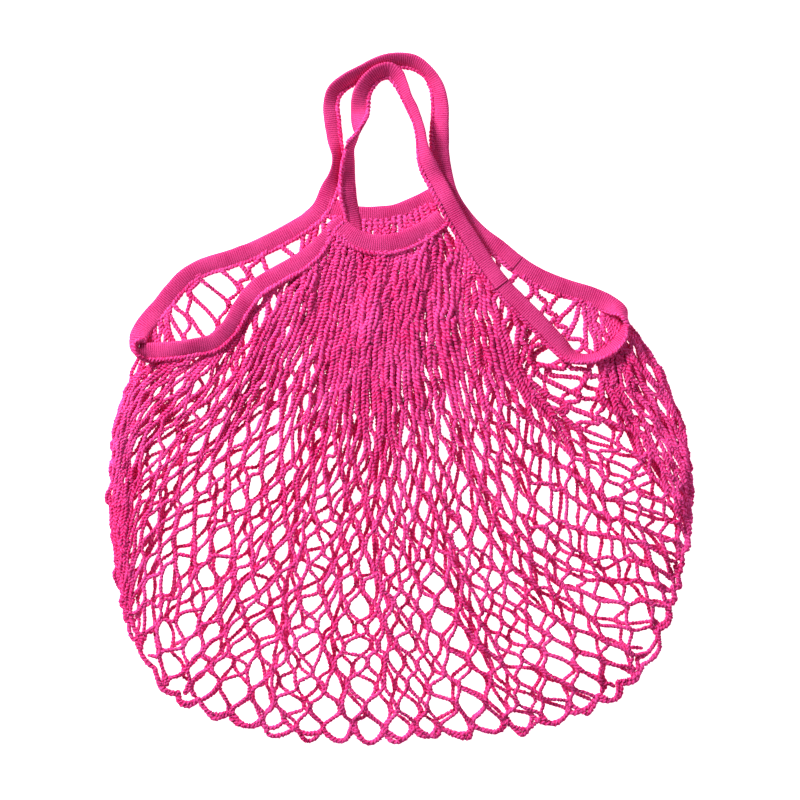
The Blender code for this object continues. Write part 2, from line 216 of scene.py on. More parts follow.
HANDLE_BACK = (
    (-79.0, 127.9, BASE, 0, 1.0),
    (-68.4, 134.6, BASE, 0, 1.0),
    (-59.8, 143.2, BASE, 0, 1.0),
    (-53.0, 157.4, BASE, 8, 1.0),
    (-48.4, 169.6, BASE, 38, 0.85),
    (-47.2, 180.2, BASE, 54, 0.85),
    (-49.4, 196.6, BASE, 20, 0.82),
    (-50.8, 208.2, BASE, 12, 0.86),
    (-52.0, 221.4, BASE, 16, 0.84),
    (-49.4, 231.4, BASE, 34, 0.9),
    (-41.4, 238.6, BASE, 46, 1.0),
    (-27.4, 246.0, BASE, 44, 1.0),
    (-14.7, 252.4, BASE, 44, 1.0),
    (-1.8, 255.0, BASE, 46, 1.0),
    (10.4, 253.4, BASE, 48, 1.0),
    (20.8, 246.4, BASE, 58, 1.0),
    (27.8, 234.8, BASE, 48, 1.0),
    (30.2, 221.8, BASE, 36, 1.0),
    (30.0, 205.6, BASE, 22, 1.0),
    (29.8, 188.4, BASE, 2, 1.0),
    (32.0, 171.4, BASE, 0, 1.0),
    (35.4, 157.4, BASE, 0, 1.0),
    (41.4, 145.4, BASE, 0, 1.0),
    (49.6, 134.4, BASE, 0, 1.0),
    (61.2, 122.8, BASE, 0, 1.0),
    (75.0, 112.6, BASE, 0, 1.0),
    (84.8, 104.3, BASE, 0, 1.0),
)
TAPES = {
    "mouth_band_front": MOUTH_BAND_FRONT,
    "mouth_band_back": MOUTH_BAND_BACK,
    "side_band_left": SIDE_BAND_LEFT,
    "side_band_right": SIDE_BAND_RIGHT,
    "handle_front": HANDLE_FRONT,
    "handle_back": HANDLE_BACK,
}

# Ends that lie on their neighbour's tape: tape, end (0 is its first), lift and overlap
LAPS = (
    ("handle_front", -1, 0.7, 4.5),
    ("handle_back", 0, 0.8, 3.0),
    ("handle_back", -1, 0.5, 3.5),
    ("side_band_left", 0, 0.6, 1.5),
    ("mouth_band_back", 0, 0.0, 8.5),
)
LAP_RUN = 14.0

# Rolled edges: tape, side of the tape's profile (1 is its left edge), face (1 is its upper face), and the
# shares of the route that they run along
EDGE_ROLLS = {
    "mouth_band_front_stitches": ("mouth_band_front", -1, 1, 0.0, 1.0),
    "mouth_band_back_stitches": ("mouth_band_back", -1, 1, 0.0, 1.0),
    "side_band_left_stitches": ("side_band_left", 1, 1, 0.0, 1.0),
    "side_band_right_stitches": ("side_band_right", -1, 1, 0.0, 1.0),
    "handle_front_stitches": ("handle_front", 1, -1, 0.2, 1.0),
    "handle_front_foot_stitches": ("handle_front", 1, 1, 0.0, 0.19),
    "handle_back_stitches": ("handle_back", -1, 1, 0.0, 1.0),
}

# Where the net hangs from the tape: tape, side of its route (1 is left), first guide and share of its
# length, last guide and share
FRONT_RIM = (
    ("side_band_left", 1, 0.0, 0.512, 3.0, 0.405),
    ("side_band_left", 1, 3.0, 0.405, 7.5, 0.138),
    ("side_band_left", 1, 7.5, 0.138, 10.2, 0.025),
    ("mouth_band_front", -1, 10.2, 0.0, 24.2, 0.98),
    ("handle_front", -1, 24.2, 0.84, 28.6, 0.985),
    ("side_band_right", -1, 28.6, 0.01, 29.6, 0.16),
    ("side_band_right", -1, 29.6, 0.16, 31.0, 0.4),
    ("side_band_right", -1, 31.0, 0.4, 36.0, 0.595),
)
BACK_RIM = (
    ("side_band_left", -1, 0.0, 0.6, 4.2, 0.68),
    ("side_band_left", -1, 4.2, 0.68, 7.6, 0.985),
    ("handle_back", -1, 7.6, 0.01, 9.8, 0.085),
    ("mouth_band_back", -1, 9.8, 0.0, 27.0, 0.95),
    ("handle_back", -1, 27.0, 0.905, 28.6, 0.99),
    ("side_band_right", 1, 28.6, 0.985, 30.0, 0.76),
    ("side_band_right", 1, 30.0, 0.76, 36.0, 0.62),
)

# Lines of the net below the rim: guide, then x and y at three places and at the border
COLUMN_LINES = (
    (0, -206, 12, -212, -9, -215, -27, -215.5, -45),
    (2, -189, 8, -205, -20, -210.5, -52, -212.5, -90),
    (4, -162, 10, -195, -30, -206.5, -80, -210, -131),
    (6, -126, 22, -166, -38, -197, -96, -207, -155),
    (8, -97, 36, -134, -41, -174, -116, -203, -174),
    (10, -76, 37, -107, -45, -146, -142, -180, -217),
    (12, -56, 37, -79, -45, -113, -146, -141, -240),
    (14, -40, 37, -54, -45, -78, -150, -94, -253),
    (16, -27, 37, -32, -45, -44, -150, -47, -258),
    (18, -14, 37, -12, -45, -11, -150, 0, -259),
    (20, 0, 37, 7, -45, 21, -150, 48, -256),
    (22, 15, 39, 28, -41, 53, -146, 96, -251),
    (24, 32, 41, 50, -37, 84, -139, 142, -237),
    (26, 50, 41, 68, -34, 110, -130, 180, -212),
    (28, 73, 36, 94, -24, 139, -108, 204, -166),
    (29, 85, 28, 114, -20, 158, -94, 209, -148),
    (30, 98, 24, 134, -24, 175, -80, 213, -130),
    (31, 152, 2, 179, -34, 202, -76, 217, -112),
    (32, 160, 8, 184, -26, 206, -64, 218.5, -96),
    (34, 174, 20, 196, -10, 212, -42, 220, -68),
    (36, 190, 33, 202, 11, 210, -11, 216, -34),
)

# Rows of meshes: guide, half-row where the tape cuts the net, half-row at the border
ROW_SPANS = (
    (0, 9.0, 14.0),
    (2, 8.0, 17.0),
    (4, 6.5, 18.5),
    (6, 4.0, 20.0),
    (8, 1.0, 21.0),
    (10, 0.0, 22.0),
    (12, 0.0, 23.0),
    (24, 0.0, 23.0),
    (26, 0.0, 22.0),
    (28, 1.0, 21.0),
    (30, 4.0, 20.0),
    (32, 6.5, 18.5),
    (34, 8.0, 17.0),
    (36, 9.0, 14.0),
)
MOST_ROWS = 23

# Unevenness of the net: use, then the waves' lengths in columns and in shares of the way down
NOISE_SEED = 12
WAVE_COUNT = 9
WAVES = (
    ("wide bunches", 4.0, 1.2),
    ("narrow bunches", 1.6, 0.9),
    ("slip", 5.0, 0.7),
    ("lift", 3.0, 0.5),
    ("drift across", 6.0, 0.6),
    ("drift down", 6.0, 0.6),
)
BUNCH_SHARES = (("wide bunches", 0.6), ("narrow bunches", 0.5))

# How far the tape and the border hold the cords, how far the net takes to loosen below that, the columns
# at both sides that stay in line, and how quickly the knots' jitter grows from the tape and the border
HELD_RUN = 60.0
LOOSENING_RUN = 120.0
SIDE_COLUMNS = 1.5
KNOT_FADE = 8

# How far the back layer lies from the front one in x and y, and the share of that near the border
LAYER_SHIFT = (-3.4, -2.6)
BORDER_DRIFT = 0.3
DRIFT_RUN = 30.0

# Shares of the way down between which the gathered net opens, and how far the back layer's cords lie
# between the front layer's there, in columns
GATHERED_TO = (0.25, 0.6)
BACK_OFFSET = 0.25
OFFSET_RUN = 25.0

# How much thicker the cords look where they are drawn together: share of the way down, factor
SWELLS = ((0.0, 1.34), (0.22, 1.3), (0.42, 0.96), (1.0, 0.95))
WING_SWELLS = ((0.0, 1.05), (0.3, 0.95), (1.0, 0.95))
WING_GUIDES = (5, 8, 30, 33)

# Joints: the most of the way to the next joint that one takes, how unevenly its ends lie, in metres, and
# how much wider it is where the net is drawn together
DOWN_PROBE = 0.02
JOINT_ROOM = 0.3
JOINT_WOBBLE = 0.00025
SPREAD_TO = (0.2, 0.55)
GATHERED_SPREAD = 0.8

# The right corner, where cords bow more: guides, share of the way down, and how much more
LOOSE_GUIDES = (29, 31)
LOOSE_DEPTH = 0.3
LOOSE_BOW = 2

# A cord's shape: points round it, slack and range of its twist, and unevenness of its thickness
CORD_COTTON = "cotton_cord"
CORD_SIDES = 6
CURVE_STEPS = 8
TWIST_SLACK = 0.22
TWIST_RANGE = (0.88, 1.12)
CORD_UNEVENNESS = 0.075
CORD_TIP = 0.35
UV_SHIFT = 0.05

# Scallops along the bottom: guide and depth, the share of the way down where the net starts to make room
# for them, and how unevenly deep and pointed they are
SCALLOPS = ((0, 3.0), (8, 6.0), (12, 9.0), (16, 12.0), (20, 12.0), (24, 9.0), (28, 6.0), (36, 3.0))
SCALLOPS_FROM = 0.5
SCALLOP_SHARES = (0.6, 1.0)
SCALLOP_POWERS = (1.3, 2.4)
SCALLOP_SEED = 6

# Cord along the border: columns without it at both sides, columns between its points, and thickness
HEM_MARGIN = 2.5
HEM_STEP = 1 / 16
HEM_SWELL = 1.2
HEM_SEED = 5

# How far the last knots stray along the border in columns and across it, the share of the way down where
# they start to, and how far the border is raised for that
BORDER_STRAY = (0.17, 2.6)
BORDER_FROM = 0.8
STRAY_RISE = 1.5
STRAY_SEED = 31

# Cotton: the shader's values, the tone up to which it takes its darkest colour, which is painted shade and
# dark dye, and the patterns' pitches in millimetres
COTTON_SHADER = (
    ("Roughness", 0.85),
    ("Sheen Weight", 0.05),
    ("Sheen Roughness", 0.5),
    ("Sheen Tint", (1.0, 0.2, 0.5, 1)),
    ("Specular IOR Level", 0.02),
)
DARK_TO = 0.25
PLY_PITCH = 1.35
WALE_PITCH = 1.3
WALE_BEND = 0.9

# Stage, in metres and watts: lights have a name, a place, a power and a size
WHITE = (1, 1, 1, 1)
FLOOR_SIZE = 6.0
FLOOR_LEVEL = -0.0004
LIGHTS = (
    ("key", (-1.65, 1.5, 1.3), 112.0, 0.7),
    ("fill", (0.9, -0.5, 2.2), 8.0, 1.6),
)
SKY_STRENGTH = 0.17
LENS = 130.0
SENSOR = 36.0
SEEN_LEVEL = 0.005
CAMERA_RANGE = (0.05, 20.0)


def smooth_route(rows):
    """The rows, their places along the route, and their slopes there."""
    rows = np.array(rows, float)
    steps = np.hypot(*np.diff(rows[:, :2], axis=0).T)
    places = np.concatenate([[0.0], np.cumsum(steps)])
    return rows, places, np.gradient(rows, places, axis=0)


def read_route(route, shares):
    """The rows at shares of the route's length."""
    rows, places, slopes = route
    place = np.clip(np.asarray(shares, float), 0, 1) * places[-1]
    first = np.clip(np.searchsorted(places, place, side="right") - 1, 0, len(places) - 2)
    span = places[first + 1] - places[first]
    t = ((place - places[first]) / span)[..., None]
    span = span[..., None]
    return (
        (2 * t**3 - 3 * t**2 + 1) * rows[first]
        + (t**3 - 2 * t**2 + t) * slopes[first] * span
        + (3 * t**2 - 2 * t**3) * rows[first + 1]
        + (t**3 - t**2) * slopes[first + 1] * span
    )


def read_table(table, column):
    """A smooth reading of a table's row at a column."""
    table = np.array(table, float)
    places = table[:, 0]
    rows = table[:, 1:]
    slopes = np.gradient(rows, places, axis=0)
    length = places[-1] - places[0]
    return read_route((rows, places - places[0], slopes), (column - places[0]) / length)


def half_extents(roll, width):
    """Half of a tape's extent across its route and of its height, in millimetres."""
    side = np.abs(np.cos(np.radians(roll)))
    rise = (np.hypot(np.sin(np.radians(roll)), ROLL_SOFTNESS) - ROLL_SOFTNESS) / FULL_RISE
    across, thick = TAPE_WIDTH / 2 * width, TAPE_THICKNESS / 2 * width
    return across * side + thick * rise, across * rise + thick * side


def ease(share):
    """A smooth step from 0 to 1."""
    share = np.clip(share, 0, 1)
    return share * share * (3 - 2 * share)


def guide(columns):
    """The guide that columns of the net lie on."""
    return np.interp(columns, *np.transpose(COLUMN_GUIDES))


def rim_point(rim, place):
    """The place beside a tape's edge where a guide of the net starts."""
    for name, side, first, first_share, last, last_share in rim:
        if place <= last:
            break
    route = smooth_route(TAPES[name])
    share = first_share + (last_share - first_share) * (place - first) / (last - first)
    here, ahead, behind = (read_route(route, share + step) for step in (0, RIM_PROBE, -RIM_PROBE))
    along = (ahead - behind)[:2] / np.hypot(*(ahead - behind)[:2])
    beside = np.array([-along[1], along[0]]) * side
    return here[:2] + beside * (half_extents(here[3], here[4])[0] - NET_TUCK)


class NetSurface:
    """A layer of the net as a surface, read by column and by share of the way from tape to border."""

    def __init__(self, front):
        self.front = front
        rim = FRONT_RIM if front else BACK_RIM
        shares = np.linspace(0, 1, ROUTE_STEPS + 1)
        grid, lengths = [], []
        for half in range(HALF_COLUMNS + 1):
            place = float(guide(half / 2))
            line = read_table(COLUMN_LINES, place)
            route = smooth_route([rim_point(rim, place), *line.reshape(4, 2)])
            grid.append(read_route(route, shares))
            lengths.append(route[1][-1])
        self.grid = np.array(grid)
        self.strays = np.random.default_rng(STRAY_SEED + front).uniform(-1, 1, (2, HALF_COLUMNS + 1))
        self.lengths = np.array(lengths)

    def read(self, columns, values):
        """Values given for each half column, at columns."""
        return np.interp(columns, np.arange(HALF_COLUMNS + 1) / 2, values)

    def place(self, columns, shares):
        """x and y at columns and shares of the way down."""
        a = np.clip(np.asarray(columns) * 2, 0, HALF_COLUMNS - 1e-6)
        b = np.clip(np.asarray(shares), 0, 1) * (ROUTE_STEPS - 1e-6)
        i, k = a.astype(int), b.astype(int)
        u, v = (a - i)[..., None], (b - k)[..., None]
        upper = self.grid[i, k] * (1 - u) + self.grid[i + 1, k] * u
        lower = self.grid[i, k + 1] * (1 - u) + self.grid[i + 1, k + 1] * u
        return upper * (1 - v) + lower * v


def scallop_depth(columns):
    """Depth of the scallops at columns, in millimetres."""
    return np.interp(guide(columns), *np.transpose(SCALLOPS))


def scallops(columns, seed):
    """How far the uneven scallops hang below the last knots at columns."""
    rng = np.random.default_rng(seed)
    number = np.floor(columns + 0.5).astype(int)
    depth = scallop_depth(columns) * rng.uniform(*SCALLOP_SHARES, COLUMNS + 2)[number]
    power = rng.uniform(*SCALLOP_POWERS, COLUMNS + 2)[number]
    return depth * (1 - np.abs(2 * np.mod(columns + 0.5, 1.0) - 1) ** power)


# Meshes
def make_object(name, verts, faces, uvs, material):
    """A mesh object from points and quads, with a UV for each face corner."""
    mesh = bpy.data.meshes.new(name)
    mesh.vertices.add(len(verts))
    mesh.vertices.foreach_set("co", np.asarray(verts, np.float32).ravel())
    mesh.loops.add(faces.size)
    mesh.loops.foreach_set("vertex_index", faces.astype(np.int32).ravel())
    mesh.polygons.add(len(faces))
    mesh.polygons.foreach_set("loop_start", np.arange(0, faces.size, 4, dtype=np.int32))
    mesh.polygons.foreach_set("loop_total", np.full(len(faces), 4, np.int32))
    mesh.update(calc_edges=True)
    layer = mesh.uv_layers.new(name=UV_NAME)
    layer.data.foreach_set("uv", np.asarray(uvs, np.float32).ravel())
    mesh.validate()
    mesh.shade_smooth()
    mesh.materials.append(material)
    piece = bpy.data.objects.new(name, mesh)
    bpy.context.scene.collection.objects.link(piece)
    return piece


def resample(points, step):
    """The points of a smooth curve through points, a step apart, with their distances along it."""
    points = np.asarray(points, float)
    ends = np.vstack([2 * points[0] - points[1], points, 2 * points[-1] - points[-2]])
    dense = []
    t = np.linspace(0, 1, CURVE_STEPS, endpoint=False)[:, None]
    for k in range(len(points) - 1):
        a, b, c, d = ends[k : k + 4]
        square, cube = 2 * a - 5 * b + 4 * c - d, 3 * b - a - 3 * c + d
        dense.append(0.5 * (2 * b + (c - a) * t + square * t**2 + cube * t**3))
    dense = np.vstack([*dense, points[-1:]])
    steps = np.linalg.norm(np.diff(dense[:, :3], axis=0), axis=1)
    lengths = np.concatenate([[0], np.cumsum(steps)])
    count = max(int(round(lengths[-1] / step)), 2)
    places = np.linspace(0, lengths[-1], count + 1)
    return np.stack([np.interp(places, lengths, part) for part in dense.T], axis=1), places


def side_and_up(points):
    """Level side directions and the directions square to them along a path."""
    tangents = np.gradient(points, axis=0)
    tangents /= np.linalg.norm(tangents, axis=1, keepdims=True) + TINY
    sides = np.stack([-tangents[:, 1], tangents[:, 0], np.zeros(len(points))], axis=1)
    sides /= np.linalg.norm(sides, axis=1, keepdims=True) + TINY
    return sides, np.cross(tangents, sides)


def tube_faces(count, around):
    """Quads of a tube of rings with an even number of points, closed at both ends."""
    base = np.arange(count - 1)[:, None] * around
    here = np.arange(around)[None, :]
    beside = (here + 1) % around
    ahead = base + around
    quads = np.stack([base + here, base + beside, ahead + beside, ahead + here], axis=-1)
    caps = np.array([(k, k + 1, around - 2 - k, around - 1 - k) for k in range(around // 2 - 1)])
    return np.vstack([quads.reshape(-1, 4), caps[:, ::-1], caps + (count - 1) * around])


def tube_uvs(along, first, last):
    """UVs of a tube's faces: distances along it, and the places round it of each quad's two sides."""
    shape = (len(along) - 1, len(first))
    low, high = (np.broadcast_to(part[:, None], shape) for part in (along[:-1], along[1:]))
    v0, v1 = np.broadcast_to(first, shape), np.broadcast_to(last, shape)
    quads = np.stack([low, v0, low, v1, high, v1, high, v0], axis=-1).reshape(-1, 2)
    cap_corners = 2 * 4 * (len(first) // 2 - 1)
    return np.vstack([quads, np.zeros((cap_corners, 2))])


def make_cords(name, paths, cord, material, rng):
    """Twisted cords in one mesh, for paths of x, y, z and thickness factor.

    A cord is the distance between its rings, its half sides and the pitch of its twist.
    """
    step, wide, thin, pitch = cord
    verts, faces, uvs = [], [], []
    start = 0
    number = np.arange(CORD_SIDES)
    angles = number / CORD_SIDES * 2 * math.pi
    for path in paths:
        points, places = resample(path, step)
        points, factor = points[:, :3], points[:, 3]
        side, up = side_and_up(points)
        slack = np.cumsum(rng.normal(0, TWIST_SLACK, len(places)))
        turn = (places / pitch * math.pi * rng.uniform(*TWIST_RANGE) + slack) * rng.choice((-1, 1))
        turn = turn + rng.uniform(0, 2 * math.pi)
        swell = 1 + rng.normal(0, CORD_UNEVENNESS, len(places))
        ends = np.minimum(np.arange(len(places)), np.arange(len(places))[::-1])
        swell = factor * swell * np.where(ends == 0, CORD_TIP, 1.0)
        a = wide * np.cos(angles)[None, :] * swell[:, None]
        b = thin * np.sin(angles)[None, :] * swell[:, None]
        c, s = np.cos(turn)[:, None], np.sin(turn)[:, None]
        x, y = a * c - b * s, a * s + b * c
        ring = points[:, None, :] + side[:, None, :] * x[..., None] + up[:, None, :] * y[..., None]
        verts.append(ring.reshape(-1, 3))
        faces.append(tube_faces(len(points), CORD_SIDES) + start)
        along = (places + rng.uniform(0, UV_SHIFT)) / MM
        uvs.append(tube_uvs(along, number / CORD_SIDES, (number + 1) / CORD_SIDES))
        start += len(points) * CORD_SIDES
    return make_object(name, np.vstack(verts), np.vstack(faces), np.vstack(uvs), material)


# Net
def layer_place(surface, columns, shares, noise, hang=0.0):
    """Points of a layer's cords in metres, at columns and shares down it, lowered by some millimetres."""
    length = surface.read(columns, surface.lengths)
    inside = np.clip(shares, 0, 1)
    from_rim, from_border = inside * length, (1 - inside) * length
    free = ease(from_border / HELD_RUN) * ease((from_rim - HELD_RUN) / LOOSENING_RUN)
    from_side = np.minimum(columns, COLUMNS - columns) / SIDE_COLUMNS
    edge = ease(from_side)
    bunch, down, lift, drift = noise(columns, inside)
    moved = columns + bunch * free * edge
    gathered = 1 - ease((inside - GATHERED_TO[0]) / (GATHERED_TO[1] - GATHERED_TO[0]))
    if not surface.front:
        moved = moved + BACK_OFFSET * gathered * edge * ease(from_rim / OFFSET_RUN)
    at_border = ease((inside - BORDER_FROM) / (1 - BORDER_FROM))
    stray_across, stray_down = (
        size * surface.read(columns, strays) for size, strays in zip(BORDER_STRAY, surface.strays)
    )
    moved = moved + stray_across * at_border * edge
    up = scallop_depth(columns) * ease((inside - SCALLOPS_FROM) / (1 - SCALLOPS_FROM))
    up = up + (stray_down + STRAY_RISE) * at_border * edge
    place = surface.place(moved, inside + (down * free - up + hang) / length)
    if surface.front:
        joined = ease(np.minimum(from_border, from_side * JOIN_RUN) / JOIN_RUN)
        level = JOIN_LEVEL + (FRONT_LEVEL - JOIN_LEVEL) * joined + lift * joined
    else:
        near = BORDER_DRIFT + (1 - BORDER_DRIFT) * ease(from_border / DRIFT_RUN)
        place = place + drift * (near * (1 - gathered) * edge)[..., None]
        level = BACK_LEVEL + (GATHERED_LEVEL - BACK_LEVEL) * gathered * edge * ease(from_rim / RISE_RUN)
    return np.concatenate([place, level[..., None]], axis=-1) * MM


def make_noise(sizes):
    """Seeded unevenness of the net: bunching across, slip down, lift and the back layer's drift."""
    rng = np.random.default_rng(NOISE_SEED)
    waves = {
        use: [
            (rng.normal(0, 1 / long), rng.normal(0, 1 / deep), rng.uniform(0, 2 * math.pi))
            for _ in range(WAVE_COUNT)
        ]
        for use, long, deep in WAVES
    }

    def wave(use, columns, shares):
        total = sum(np.sin(2 * math.pi * (a * columns + d * shares) + p) for a, d, p in waves[use])
        return total / math.sqrt(WAVE_COUNT / 2)

    def noise(columns, shares):
        bunch = sum(share * wave(use, columns, shares) for use, share in BUNCH_SHARES) * sizes.bunching
        down = sizes.slip / MM * wave("slip", columns, shares)
        lift = sizes.lift / MM * wave("lift", columns, shares)
        drift = [
            sizes.layer_drift / MM * wave(use, columns, shares) + at
            for use, at in zip(("drift across", "drift down"), LAYER_SHIFT)
        ]
        return bunch, down, lift, np.stack(drift, axis=-1)

    return noise


def chain_stops(surface, sizes, seed):
    """Columns, shares and sides of the joints of a layer's cords, which zigzag down the net."""
    rng = np.random.default_rng(seed)
    rows = np.transpose(ROW_SPANS)
    knots = {}

    def knot(half, row):
        """Column and share of a knot, with its own small jitter."""
        if (half, row) not in knots:
            column = half / 2
            top, bottom = (np.interp(guide(column), rows[0], part) for part in rows[1:])
            share = (row - top) / (bottom - top)
            fade = float(ease((1 - share) * KNOT_FADE) * ease(share * KNOT_FADE)) if 0 < share < 1 else 0.0
            jitter = rng.normal(0, 1, 2) * fade
            slip = sizes.knot_slip / MM / float(surface.read(column, surface.lengths))
            knots[half, row] = column + jitter[0] * sizes.knot_jitter, share + jitter[1] * slip
        return knots[half, row]

    chains = []
    for chain in range(HALF_COLUMNS):
        stops = []
        for row in range(MOST_ROWS + 1):
            half = chain if (chain + row) % 2 == 0 else chain + 1
            stops.append((*knot(half, row), 1 if half == chain else -1))
        points = []
        for (c0, s0, side0), (c1, s1, side1) in zip(stops, stops[1:]):
            if s1 <= 0 or s0 >= 1:
                continue
            if s0 < 0:
                t = s0 / (s0 - s1)
                c0, s0, side0 = c0 + (c1 - c0) * t, 0.0, 0
            if s1 > 1:
                t = (1 - s0) / (s1 - s0)
                c1, s1, side1 = c0 + (c1 - c0) * t, 1.0, 0
            if not points:
                points.append((c0, s0, side0))
            points.append((c1, s1, side1))
        if len(points) > 1:
            chains.append(points)
    return chains


def route_chain(surface, noise, stops, sizes, rng):
    """A cord's points in metres: it leaves each joint below it and enters the next one above it."""
    columns, shares, sides = np.transpose(stops)
    place = guide(columns)
    centres = layer_place(surface, columns, shares, noise)
    below = layer_place(surface, columns, np.minimum(shares + DOWN_PROBE, 1 + DOWN_PROBE), noise)
    down = below - layer_place(surface, columns, np.maximum(shares - DOWN_PROBE, 0), noise)
    along = down / (np.linalg.norm(down, axis=1, keepdims=True) + TINY)
    across = np.stack([-along[:, 1], along[:, 0], 0 * along[:, 0]], axis=1)
    gaps = np.linalg.norm(np.diff(centres[:, :2], axis=0), axis=1)
    room = np.minimum(np.concatenate([[gaps[0]], gaps]), np.concatenate([gaps, [gaps[-1]]]))
    reach = np.minimum(sizes.joint_length / 2, room * JOINT_ROOM)
    gathered = np.interp(place, WING_GUIDES, (0, 1, 1, 0))
    swells = np.interp(shares, *np.transpose(WING_SWELLS)) * (1 - gathered)
    swells = swells + np.interp(shares, *np.transpose(SWELLS)) * gathered
    loose = ease((place - LOOSE_GUIDES[0]) / (LOOSE_GUIDES[1] - LOOSE_GUIDES[0]))
    loose = loose * (1 - ease(shares / LOOSE_DEPTH))
    bows = rng.normal(0, sizes.bow, len(columns)) * (1 + LOOSE_BOW * loose)
    opened = ease((shares - SPREAD_TO[0]) / (SPREAD_TO[1] - SPREAD_TO[0]))
    spread = sizes.joint_spread * (1 + GATHERED_SPREAD * gathered * (1 - opened))
    points, factors = [], []
    for k, centre in enumerate(centres):
        centre = centre + across[k] * sides[k] * spread[k]
        wobble = rng.normal(0, JOINT_WOBBLE, 3)
        ends = [centre]
        if sides[k] != 0:
            ends = [centre + (along[k] * reach[k] - wobble) * way for way in (-1, 1)]
        if points:
            points.append((points[-1] + ends[0]) / 2 + across[k] * bows[k])
            factors.append((factors[-1] + swells[k]) / 2)
        points += ends
        factors += [swells[k]] * len(ends)
    return np.column_stack([points, factors])


def hem_path(surface, noise):
    """The scalloped cord along the net's border."""
    columns = np.arange(HEM_MARGIN, COLUMNS - HEM_MARGIN + HEM_STEP / 2, HEM_STEP)
    hang = scallops(columns, SCALLOP_SEED + surface.front)
    places = layer_place(surface, columns, np.ones(len(columns)), noise, hang)
    return np.column_stack([places, np.full(len(places), HEM_SWELL)])


# Tape
def tape_frames(name, step):
    """Centres, across and out directions, width factors and distances along a tape, in metres."""
    route = smooth_route(TAPES[name])
    length = route[1][-1]
    count = int(round(length * MM / step))
    rows = read_route(route, np.linspace(0, 1, count + 1))
    roll, width = rows[:, 3], rows[:, 4]
    level = np.maximum(rows[:, 2], BASE) + half_extents(roll, width)[1] + CROWN_LIFT
    for end, beside in ((0, 1), (-1, -2)):
        lift, overlap = next((lap[2:] for lap in LAPS if lap[:2] == (name, end)), (0.0, END_OVERLAP))
        from_end = np.abs(np.linspace(0, length, count + 1) - (0 if end == 0 else length))
        level = level + lift * ease(1 - from_end / LAP_RUN)
        out_of = rows[end, :2] - rows[beside, :2]
        out_of = out_of / np.hypot(*out_of)
        rows[:, :2] += out_of * (overlap * ease(1 - from_end / LAP_RUN))[:, None]
    points = np.stack([rows[:, 0], rows[:, 1], level], axis=1) * MM
    side, up = side_and_up(points)
    c, s = np.cos(np.radians(roll))[:, None], np.sin(np.radians(roll))[:, None]
    across, out = side * c + up * s, up * c - side * s
    places = np.concatenate([[0], np.cumsum(np.linalg.norm(np.diff(points, axis=0), axis=1))])
    return points, across, out, width, places


def make_tape(name, sizes, material, seed):
    """A length of knitted tape: ribs across it, a soft crown and slightly uneven edges."""
    rng = np.random.default_rng(seed)
    points, across, out, width, places = tape_frames(name, sizes.tape_step)
    half, thick = TAPE_WIDTH / 2 * MM, TAPE_THICKNESS / 2 * MM
    t = np.linspace(-1, 1, PROFILE_STEPS)
    t = np.sin(t * math.pi / 2) * EDGE_CROWDING + t * (1 - EDGE_CROWDING)
    crown = CROWN_EDGE + CROWN_RISE * np.sqrt(1 - CROWN_ROUNDNESS * np.abs(t) ** 2)
    both = np.concatenate([t, t[::-1]])
    ring_x = both * half
    ring_y = np.concatenate([-crown, crown[::-1]]) * thick
    ring_x[[0, PROFILE_STEPS - 1, PROFILE_STEPS, -1]] *= EDGE_PINCH
    rib = np.sin(2 * math.pi * places / sizes.rib_pitch)[:, None] * sizes.rib_height
    slope = np.interp(np.abs(both), *np.transpose(RIB_FADE))
    rows = rng.normal(0, 1, (len(places) // DRIFT_STEPS + 3, 3))
    drift = np.interp(places, np.linspace(0, places[-1], len(rows)), rows[:, 0])
    x = ring_x[None, :] * (width + EDGE_DRIFT * drift)[:, None]
    y = ring_y[None, :] * width[:, None] + rib * (np.sign(ring_y) * slope)[None, :]
    x = x + rib * EDGE_RIB * np.where(np.abs(ring_x) > half * EDGE_FROM, np.sign(ring_x), 0)
    verts = points[:, None, :] + across[:, None, :] * x[..., None] + out[:, None, :] * y[..., None]
    faces = tube_faces(len(points), len(ring_x))
    uvs = tube_uvs(places / MM, ring_x / MM, np.roll(ring_x / MM, -1))
    return make_object(name + "_cloth", verts.reshape(-1, 3), faces, uvs, material)


def edge_path(row, sizes):
    """The route of the rolled, stitched edge along a tape, in metres."""
    name, side, face, first, last = row
    points, across, out, width, places = tape_frames(name, sizes.stitch_pitch / STITCH_POINTS)
    part = (places >= first * places[-1]) & (places <= last * places[-1])
    points, across, out, width, places = (values[part] for values in (points, across, out, width, places))
    edge = (TAPE_WIDTH / 2 * MM - sizes.stitch_wide * EDGE_INSET) * width
    edge = edge + sizes.stitch_reach * np.sin(2 * math.pi * places / sizes.stitch_pitch)
    rise = TAPE_THICKNESS / 2 * MM * width
    path = points + across * (side * edge)[:, None] + out * (face * rise)[:, None]
    path[:, 2] = np.maximum(path[:, 2], sizes.stitch_wide)
    return np.column_stack([path, np.ones(len(path))])


